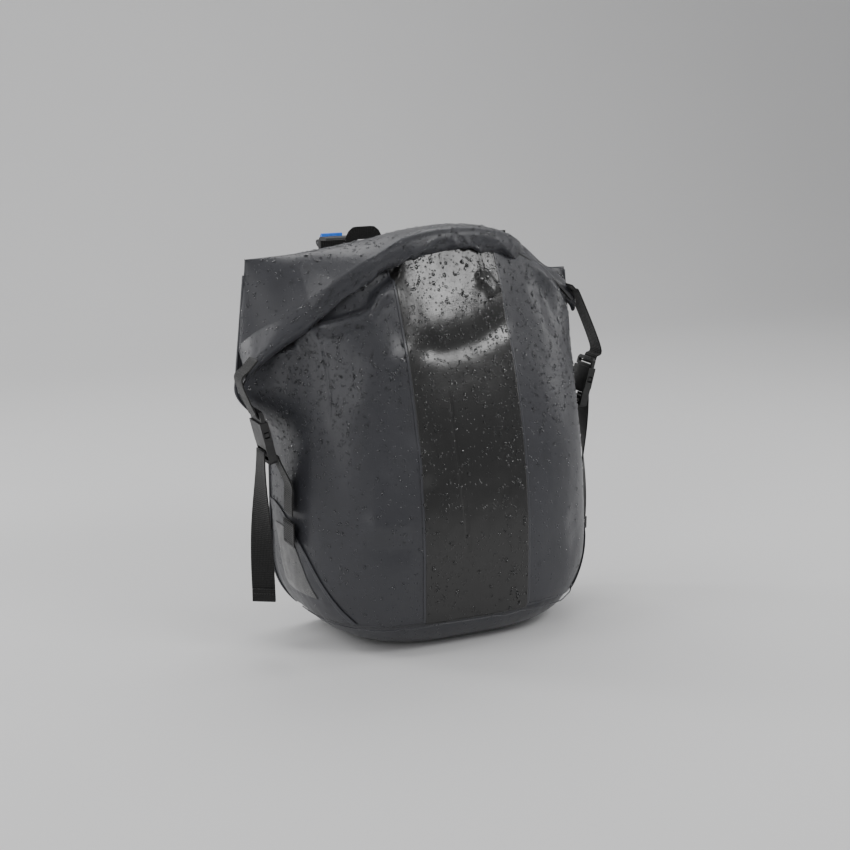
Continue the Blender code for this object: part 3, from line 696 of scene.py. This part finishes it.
def leaf_edge(z):
    """How far round from the back edge the folded leaf's weld runs at z, as an angle."""
    return 0.03 + 0.75 * clamp((LEAF_TOP_Z - z) / (LEAF_TOP_Z - SEAM_Z)) ** 0.8


def build_flaps():
    """Low on each side a leaf of fabric is folded over and welded, with a reflective film on it."""
    def edges(way, near, far):
        """Angles of a strip that takes the share from near to far of the leaf's width."""
        both = [lambda z, s=s: s * leaf_edge(z) if way > 0 else math.pi - s * leaf_edge(z)
                for s in (near, far)]
        return both if way > 0 else both[::-1]

    film_top, film_low = LEAF_TOP_Z - 22, SEAM_Z + 26
    for label, way in (("right", 1), ("left", -1)):
        flap = patch(f"side_leaf_{label}", *edges(way, 0.03, 1.0), LEAF_TOP_Z, SEAM_Z + 2, 1.2,
                     mats["grey"], (40, 80), wave=0.5)
        finish_piece(flap, "bag", "grey_fabric", f"side_flap_{label}")
        film = patch(f"reflective_film_{label}", *edges(way, 0.16, 0.74), film_top, film_low, 1.9,
                     mats["reflector"], (24, 50), wave=0.4)
        finish_piece(film, "bag", "reflective_patch", f"reflector_{label}")
        weld = patch(f"leaf_weld_{label}", *edges(way, 0.97, 1.05), LEAF_TOP_Z, SEAM_Z + 2, 1.75,
                     mats["tape"], (6, 80), wave=0.3)
        finish_piece(weld, "bag", "weld_tape")


def bottom_heights(grid):
    return 0.9 * rumple(grid, 60, seed=12.0) + 0.35 * rumple(grid, 16, seed=4.0)


def build_bottom():
    """The bottom tray: a wall whose welded upper edge waves, a rounded corner and a sagging base."""
    columns, wall, floor = 220, 26, 16
    rows = []

    def ring(z):
        front = [front_point(math.pi * k / columns, z) for k in range(columns + 1)]
        back = [Vector((x, BACK_Y, z)) for x in np.linspace(front[-1].x, front[0].x, 70)[1:]]
        return front + back

    for i in range(wall + 1):
        share = math.sin(math.pi / 2 * i / wall)
        points = ring(lerp(SEAM_Z, BOTTOM_Z + 0.6, share))
        fade = (1 - i / wall) ** 3
        for p in points:
            wave = 2.2 * noise.noise(Vector((p.x / 26, 0.4, 0)))
            wave += 1.4 * noise.noise(Vector((p.x / 9, 5, 0)))
            p.z += (3.4 + wave) * fade
        rows.append([tuple(p) for p in points])
    centre = np.array((0.0, -76.0, BOTTOM_Z + 0.6))
    last = np.array(rows[-1])
    for i in range(1, floor + 1):
        rows.append((last + (centre - last) * (i / floor) ** 1.1 * 0.985).tolist())
    grid = np.array(rows, float)
    lift = bottom_heights(grid)
    lift[:wall + 1] += 1.0
    lift[wall - 4:] = np.minimum(lift[wall - 4:], 0.4)
    tray = skin("bottom_tray", raise_grid(grid, lift), mats["grey"])
    finish_piece(tray, "bag", "grey_fabric", "bottom_panel")
    edge = np.array(rows[0])[:columns + 1]
    bead = [(p[0], p[1] - 1.9 if abs(p[0]) < 150 else p[1], p[2] - 7.0) for p in edge[6:-6:3]]
    heights = front_heights(edge[6:-6:3][None])[0]
    centre_out = [Vector(b) + Vector((b[0] / 177, b[1] / 152, 0)).normalized() * max(h * 0.2, -0.4)
                  for b, h in zip(bead, heights)]
    finish_piece(tube("bottom_weld_bead", centre_out, 0.7, mats["tape"], 6), "bag", "weld_tape",
                 "bottom_seam_tape")


def build_back():
    """The back: flat fabric over its board, whose outline shows as a welded groove."""
    shares = np.linspace(-1, 1, 121)[::-1]
    grid = np.array([[tuple(back_point(s, lerp(back_top(s * HALF_WIDTH), SEAM_Z + 0.3, i / 130)))
                      for s in shares] for i in range(131)])
    x, z = grid[..., 0], grid[..., 2]
    out = np.maximum(np.abs(x) - 106, 0), np.maximum(np.abs(z + 172) - 152, 0)
    groove = np.hypot(*out) - 24
    heights = -0.9 * np.exp(-((groove / 2.2) ** 2)) + 0.35 * rumple(grid, 40, seed=2.0) * (groove > 0)
    heights = np.minimum(heights, 0.25)
    grid[..., 1] += heights
    back = skin("back_fabric", grid, mats["grey"])
    finish_piece(flip_if_inside_out(back, Vector((0, 1, 0))), "bag", "grey_fabric", "back_panel")
    for label, side in SIDES.items():
        edge = [back_point(side, z) for z in np.linspace(-2 if side < 0 else back_top(HALF_WIDTH) - 3,
                                                         SEAM_Z - 10, 90)]
        bead = [p + Vector((side * 0.8, 0.2, 0)) for p in edge]
        finish_piece(tube(f"back_edge_weld_{label}", bead, 1.5, mats["tape"], 8), "bag", "weld_tape")


def flip_if_inside_out(obj, outward):
    """Turns a sheet's faces over if its first grid's face looks the wrong way."""
    if obj.data.polygons[0].normal.dot(outward) < 0:
        obj.data.flip_normals()
    return obj


# creases of the rolled top, as (x, share of the way from the back panel over the roll)
ROLL_CREASES = [
    ([(-150, 0.66), (-112, 0.60), (-66, 0.72)], 3.2, 12),
    ([(-112, 0.60), (-92, 0.76), (-76, 0.92)], 3.0, 10),
    ([(-66, 0.72), (-40, 0.62), (-8, 0.66)], 2.6, 11),
    ([(-40, 0.62), (-30, 0.80), (-16, 0.95)], 2.4, 9),
    ([(4, 0.58), (20, 0.76), (34, 0.62)], 3.6, 10),
    ([(34, 0.62), (48, 0.82), (70, 0.92)], 3.0, 10),
    ([(58, 0.54), (84, 0.66), (120, 0.72)], 2.8, 11),
]
ROLL_VALLEYS = [
    ([(-130, 0.74), (-98, 0.70), (-84, 0.84)], 4.2, 10),
    ([(-84, 0.66), (-56, 0.80), (-28, 0.74)], 3.6, 9),
    ([(12, 0.66), (28, 0.86), (40, 0.74)], 4.0, 8),
    ([(60, 0.66), (78, 0.78), (104, 0.84)], 3.2, 9),
    ([(-190, 0.52), (-140, 0.50), (-84, 0.46)], 2.0, 16),
]


def join_turn(share):
    """Where the neck runs into the roll, as an angle round it. At the left end they are one cone."""
    return math.radians(60 + 78 * smooth(-share / 0.42) + 30 * smooth(share / 0.5))


def roll_frame(share):
    """(centre, back, up, size) of the roll. Its right end lies back, behind the shoulder."""
    back, up = roll_axes(share)
    centre = roll_point(share)
    hidden = smooth((centre.x - 78) / 42)
    return centre + Vector((0, 24, -5)) * hidden, back, up, lerp(1.0, 0.66, hidden)


def top_section(share, rows_neck, rows_roll):
    """The cloth's section at share: from the back panel's top, over the neck and round the roll."""
    x = share * (NECK_LEFT if share < 0 else NECK_RIGHT)
    top = back_top(x)
    low = Vector((x, BACK_Y - 0.2, top + 0.2))
    slump = 24 * smooth((x - 55) / 60)
    crest = Vector((1.02 * x, -14.0 - 12 * abs(share) ** 4, top + 34 - 30 * share**2 - slump))
    at = share * NECK_REACH
    first = join_turn(share)

    def on_roll(where, turn, extra, size):
        centre, back, up, wide = roll_frame(where)
        point = centre + back * math.cos(turn) * (ROLL_HALF_DEPTH * wide + extra) * size
        return point + up * math.sin(turn) * (roll_height(where) * wide + extra) * size

    join = on_roll(at, first, 2.6, 1.0)
    made = []
    for i in range(rows_neck):
        t = i / rows_neck
        made.append(((1 - t) ** 2 * low + 2 * t * (1 - t) * crest + t**2 * join, 1.0))
    for i in range(rows_roll + 1):
        t = i / rows_roll
        size = lerp(1.0, 0.6, smooth((t - 0.7) / 0.3))
        point = on_roll(lerp(at, share, smooth(t * 1.6)), lerp(first, math.radians(318), t),
                        lerp(2.6, 1.0, smooth(t * 1.5)), size)
        made.append((point, 1 - smooth(t * 2.4)))
    round_edge = clamp((abs(share) - 0.58) / 0.42) ** 1.4 * math.pi / 2
    side = 1 if share > 0 else -1
    for point, pull in made:
        tip_x, tip_y = ear_tip(side, min(point.z, EAR_TOP_Z))
        point.x += side * (tip_x + 1.0 - abs(point.x)) * math.sin(round_edge) * clamp(abs(share) * 4 - 3)
        point.y += (tip_y - point.y) * (1 - math.cos(round_edge)) * pull
    return [point for point, _ in made]


def follow_roll(piece):
    """Bakes the piece's placement into its mesh."""
    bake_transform(piece)


def build_top():
    """Neck and rolled closure: one cloth, creased where the roll has been flattened and twisted."""
    rows_neck, rows_roll = 44, 90
    shares = np.linspace(1, -1, 300)
    grid = np.array([[tuple(p) for p in top_section(s, rows_neck, rows_roll)] for s in shares])
    grid = grid.transpose(1, 0, 2)
    rows = grid.shape[0]
    ahead = np.repeat(np.linspace(0, 1, rows)[:, None], grid.shape[1], 1)
    x, run = grid[..., 0], ahead * 100
    high = 1.3 * rumple(grid, 46, (0.6, 1, 1), seed=21.0) + 0.6 * rumple(grid, 17, (0.6, 1, 1), seed=6.0)
    for points, height, width in ROLL_CREASES:
        high += Line(x, run, [(a, b * 100) for a, b in points]).crease(height, width, 0.25)
    for points, height, width in ROLL_VALLEYS:
        high -= Line(x, run, [(a, b * 100) for a, b in points]).ridge(height * 0.8, width * 0.7, 0.25)
    high *= np.clip(ahead / 0.12, 0, 1) * np.clip((1 - ahead) / 0.1, 0, 1)
    high = np.clip(high, -4.5, 4.0)
    grid = raise_grid(grid, high)
    top = skin("rolled_top_fabric", grid, mats["grey"])
    follow_roll(top)
    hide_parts("neck_panel", "rolled_closure")
    return grid


def scatter(name, grid, count, sizes, body, weight, seed):
    """Water drops as low domes, closer together where weight, a function of z from 0 to 1, is high."""
    chance = random.Random(seed)
    normals = grid_normals(grid)
    rows, columns = grid.shape[:2]
    rings, sides = (0.0, 0.45, 0.8, 1.0), 9
    verts, faces, made = [], [], 0
    for _ in range(count * 12):
        if made == count:
            break
        i, j = chance.randrange(1, rows - 2), chance.randrange(1, columns - 1)
        place = Vector(grid[i, j]) + (Vector(grid[i + 1, j]) - Vector(grid[i, j])) * chance.random()
        if chance.random() > weight(place.z):
            continue
        size = sizes[0] + (sizes[1] - sizes[0]) * chance.random() ** 3.2
        normal = Vector(normals[i, j])
        a = normal.orthogonal().normalized()
        b = normal.cross(a)
        long = 1 + 0.35 * chance.random()
        down = Vector((0, 0, -1))
        down = down - down.dot(normal) * normal
        if down.length > 0.3:
            a = down.normalized()
            b = normal.cross(a)
        first = len(verts)
        place = place - normal * size * 0.08
        verts.append(tuple(place + normal * size * DROP_HEIGHT))
        for ring in rings[1:]:
            high = DROP_HEIGHT * math.sqrt(max(1 - ring**2, 0.0))
            for k in range(sides):
                t = 2 * math.pi * k / sides
                out = a * math.cos(t) * ring * long + b * math.sin(t) * ring
                verts.append(tuple(place + (out + normal * high) * size))
        for k in range(sides):
            m = (k + 1) % sides
            faces.append((first, first + 1 + k, first + 1 + m))
            for ring in range(len(rings) - 2):
                p = first + 1 + ring * sides
                faces.append((p + k, p + sides + k, p + sides + m, p + m))
        base = first + 1 + (len(rings) - 2) * sides
        faces.append(tuple(base + k for k in range(sides))[::-1])
        made += 1
    drops = new_object(name, verts, faces, mats["water"])
    if body == "roll_top":
        follow_roll(drops)
    else:
        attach(drops, body)


def build_drops(right, left, stripe, top):
    def fabric(z):
        return 0.12 + 0.88 * smooth((z + 250) / 200)

    def on_stripe(z):
        return 0.25 + 0.75 * smooth((z + 230) / 200)

    def everywhere(_z):
        return 1.0

    scatter("water_drops_right", right, 1700, DROP_SIZES, "bag", fabric, 11)
    scatter("water_drops_left", left, 2300, DROP_SIZES, "bag", fabric, 12)
    scatter("water_drops_stripe", stripe, 1500, STRIPE_DROP_SIZES, "bag", on_stripe, 13)
    scatter("water_drops_top", top[6:104], 2300, DROP_SIZES, "roll_top", everywhere, 14)


# ---------------------------------------------------------------- webbing

def buckle_axes(side):
    lean = math.radians(BUCKLE_LEAN)
    out = Vector((side * math.cos(lean), 0, -math.sin(lean)))
    down = Vector((-side * math.sin(lean), 0, -math.cos(lean)))
    return BUCKLE_TOP[side], down, Vector((0, 1, 0)), out


def stitches(name, start, end, out, body, count, slot="webbing"):
    """A row of raised stitches from start to end, each a short capsule sunk in at its ends."""
    start, end, out = Vector(start), Vector(end), Vector(out).normalized()
    bm = bmesh.new()
    pitch = (end - start) / count
    across = pitch.cross(out).normalized()
    for k in range(count):
        ends = [start + pitch * (k + s) for s in (0.12, 0.88)]
        middle = (ends[0] + ends[1]) / 2 + out * 0.35
        rings = []
        for p, radius in ((ends[0], STITCH_END_RADIUS), (middle, STITCH_RADIUS),
                          (ends[1], STITCH_END_RADIUS)):
            rings.append([bm.verts.new((p + (across * math.cos(t) + out * math.sin(t)) * radius) * MM)
                          for t in (math.pi * 2 * m / 6 for m in range(6))])
        for near, far in zip(rings, rings[1:]):
            for m in range(6):
                bm.faces.new((near[m], near[(m + 1) % 6], far[(m + 1) % 6], far[m]))
        bm.faces.new(rings[0][::-1])
        bm.faces.new(rings[-1])
    bmesh.ops.recalc_face_normals(bm, faces=bm.faces)
    mesh = bpy.data.meshes.new(name)
    bm.to_mesh(mesh)
    bm.free()
    mesh.materials.append(mats["thread"])
    mesh.shade_smooth()
    obj = bpy.data.objects.new(name, mesh)
    bpy.context.scene.collection.objects.link(obj)
    return finish_piece(obj, body, slot)


def build_side(label, side):
    top, down, across, out = buckle_axes(side)
    y = top.y
    tab = []
    for share in (0.93, 0.965, 1.0):
        _, up = roll_axes(side * share)
        tab.append(roll_point(side * share) + up * (roll_height(share) + WEBBING_THICK / 2 + 0.5))
    tab += [top + out * 7 - down * 14, top + out * 4.6 - down * 2, top + out * 3.6 + down * 4.8,
            top + out * 0.3 + down * 6.2]
    tab = curve_through([(p.x, y, p.z) for p in tab], 6)
    finish_piece(ribbon(f"{label}_roll_webbing", tab, across, mats["webbing"]), "roll_top", "webbing",
                 f"{label}_roll_tab")

    ladder = top + down * LADDER_START
    wall = [Vector((side * (half_width(z) + ANCHOR_STANDOFF), y, z)) for z in (-216, -232, -250)]
    path = [ladder + down * 13.0 - out * 0.2, ladder + down * 14.6 - out * 6.4,
            ladder + down * 24 - out * 8, *wall]
    strap = ribbon(f"{label}_side_webbing", curve_through(path, 6), across, mats["webbing"])
    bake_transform(strap)
    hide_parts(f"{label}_side_strap")

    low = wall[-1] + Vector((-side * 0.1, 0, -7))
    patch_path = [low + Vector((0, 0, -26 * k / 6)) for k in range(7)]
    finish_piece(ribbon(f"{label}_anchor", patch_path, across, mats["webbing"], 31.0, 1.6), "bag",
                 "webbing", f"{label}_anchor_patch")
    for number, drop in enumerate((3.0, 23.0), 1):
        middle = low + Vector((side * 1.0, 0, -drop))
        stitches(f"{label}_anchor_stitches_{number}", middle - across * 13, middle + across * 13,
                 (side, 0, 0), "bag", 9)

    tail_top = ladder + down * 6.2 + out * 6.0
    steps = 32
    points, widths = [], []
    for k in range(steps + 1):
        share = k / steps
        twist = math.radians(side * TAIL_TWIST * smooth(share * 1.15))
        bow = 1.6 * math.sin(math.pi * share)
        points.append(tail_top + Vector((side * bow, 0, -TAIL_LENGTH * share)))
        widths.append(Vector((math.sin(twist), math.cos(twist), 0)))
    finish_piece(ribbon(f"{label}_tail_webbing", points, widths, mats["webbing"]), f"tail_{label}",
                 "webbing", f"{label}_strap_tail")
    fold = widths[-1].cross(Vector((0, 0, 1))).normalized() * side * (WEBBING_THICK + 0.3)
    hem = [points[-1] + fold + Vector((0, 0, 14 * k / 6)) for k in range(7)]
    finish_piece(ribbon(f"{label}_tail_fold", hem, widths[-1], mats["webbing"]), f"tail_{label}",
                 "webbing", f"{label}_strap_hem")
    middle = points[-1] + fold * 1.5 + Vector((0, 0, 9))
    stitches(f"{label}_hem_stitches", middle - widths[-1] * 11, middle + widths[-1] * 11, fold,
             f"tail_{label}", 8)


def build_handle():
    """The carry handle stands on edge behind the neck, and its raised loop shows above the bag."""
    points = []
    for k in range(113):
        x = lerp(-HANDLE_HALF, HANDLE_HALF, k / 112)
        lift = HANDLE_LIFT * smooth((HANDLE_LIFT_FOOT - abs(x - HANDLE_LIFT_X)) / HANDLE_LIFT_SLOPE)
        points.append((x, -2.6, BACK_TOP_Z + 0.6 + HANDLE_WIDTH / 2 + lift))
    handle = ribbon("handle_webbing", points, (0, 0, 1), mats["webbing"], HANDLE_WIDTH)
    finish_piece(handle, "bag", "webbing", "carry_handle")


# ---------------------------------------------------------------- hard parts

def softened(node, mat, width):
    """A copy of a CAD part with its edges rounded, which stands for it."""
    source = frame["nodes"][node]
    mesh = source.data.copy()
    mesh.name = node + "_moulded"
    obj = bpy.data.objects.new(node + "_moulded", mesh)
    bpy.context.scene.collection.objects.link(obj)
    obj.matrix_world = source.matrix_world.copy()
    mesh.materials.clear()
    mesh.materials.append(mat)
    bm = bmesh.new()
    bm.from_mesh(mesh)
    bmesh.ops.remove_doubles(bm, verts=bm.verts, dist=1e-5)
    bmesh.ops.dissolve_limit(bm, angle_limit=math.radians(2), verts=bm.verts, edges=bm.edges)
    bm.to_mesh(mesh)
    bm.free()
    modifier = obj.modifiers.new("rounded", "BEVEL")
    modifier.width = width * MM
    modifier.segments = 3
    modifier.angle_limit = math.radians(32)
    modifier.limit_method = "ANGLE"
    mesh.shade_smooth()
    mesh.set_sharp_from_angle(angle=math.radians(60))
    return obj


def body_of(node):
    for body, nodes in frame["record"]["behaviour"]["bodies"].items():
        if node in nodes:
            return body
    raise KeyError(node)


def build_hard_parts():
    slots = {row["node"]: row["material_slot"] for row in frame["record"]["subparts"]}
    looks = {"black_plastic": "black", "blue_plastic": "blue", "grey_plastic": "insert"}
    skip = {"mouth_stiffener", "left_anchor_patch", "right_anchor_patch"}
    for node, slot in slots.items():
        if slot in looks and node not in skip:
            width = 0.9 if node.startswith(("hook_left", "hook_right", "lever")) else 0.5
            finish_piece(softened(node, mats[looks[slot]], width), body_of(node), slot, node)
    for node, slot in slots.items():
        look = {"steel": "steel", "board": "board"}.get(slot)
        if node == "mouth_stiffener":
            look = "black"
        if look:
            frame["nodes"][node].data.materials.clear()
            frame["nodes"][node].data.materials.append(mats[look])


# ---------------------------------------------------------------- studio

def area_light(name, place, target, size, power):
    light = bpy.data.lights.new(name, "AREA")
    light.shape = "RECTANGLE"
    light.size, light.size_y = size
    light.energy = power
    obj = bpy.data.objects.new(name, light)
    obj.location = place
    obj.rotation_euler = (Vector(target) - Vector(place)).to_track_quat("-Z", "Y").to_euler()
    bpy.context.scene.collection.objects.link(obj)


def build_studio():
    world = bpy.data.worlds.new("studio")
    bpy.context.scene.world = world
    world.use_nodes = True
    world.node_tree.nodes["Background"].inputs["Color"].default_value = (0.62, 0.62, 0.63, 1)
    world.node_tree.nodes["Background"].inputs["Strength"].default_value = 0.7

    made = Nodes("studio_floor", 0.7)
    made.set("Base Color", made.mix(made.noise(2.0), (0.72, 0.72, 0.72), (0.76, 0.76, 0.76)))
    mesh = bpy.data.meshes.new("studio_floor")
    floor_z = (BOTTOM_Z - 1.5) * MM
    span, back, bend = 4.0, 2.2, 0.8
    profile = [(-4.0, floor_z), (back - bend, floor_z)]
    profile += [(back - bend + bend * math.sin(t), floor_z + bend - bend * math.cos(t))
                for t in (math.pi / 2 * k / 12 for k in range(1, 13))]
    profile += [(back, 3.6)]
    verts = [(x, y, z) for y, z in profile for x in (-span, span)]
    faces = [(2 * i, 2 * i + 1, 2 * i + 3, 2 * i + 2) for i in range(len(profile) - 1)]
    mesh.from_pydata(verts, [], faces)
    mesh.materials.append(made.made)
    mesh.shade_smooth()
    floor = bpy.data.objects.new("studio_floor", mesh)
    bpy.context.scene.collection.objects.link(floor)

    centre = (0, -0.06, -0.18)
    area_light("overhead", (0.45, 0.9, 1.5), centre, (1.8, 0.8), 15)
    area_light("overhead_left", (-1.15, 0.1, 1.3), centre, (0.5, 0.9), 6)
    area_light("rim_left", (-1.35, 0.9, 0.5), centre, (0.3, 0.8), 9)
    area_light("right_front", (0.82, -1.25, 1.12), centre, (0.8, 0.32), 11)
    area_light("left_front", (-1.7, -1.3, 0.7), centre, (1.0, 1.4), 9)
    area_light("right_side", (1.6, -0.3, 0.45), centre, (0.3, 1.0), 5)


def build_camera():
    camera = bpy.data.cameras.new("camera")
    camera.lens = 67.76
    camera.sensor_width = 36.0
    camera.shift_x = 0.007
    camera.shift_y = -0.0047
    obj = bpy.data.objects.new("camera", camera)
    obj.location = (-0.7482, -1.595, 0.2469)
    obj.rotation_euler = (math.radians(76.3), 0, math.radians(-25.3))
    bpy.context.scene.collection.objects.link(obj)
    bpy.context.scene.camera = obj


# ---------------------------------------------------------------- build

build_camera()
build_studio()
right_grid, left_grid, stripe_grid = build_front()
build_welds()
build_flaps()
build_bottom()
build_back()
top_grid = build_top()
build_drops(right_grid, left_grid, stripe_grid, top_grid)
for side_name, side_sign in SIDES.items():
    build_side(side_name, side_sign)
build_handle()
build_hard_parts()

bpy.context.view_layer.update()
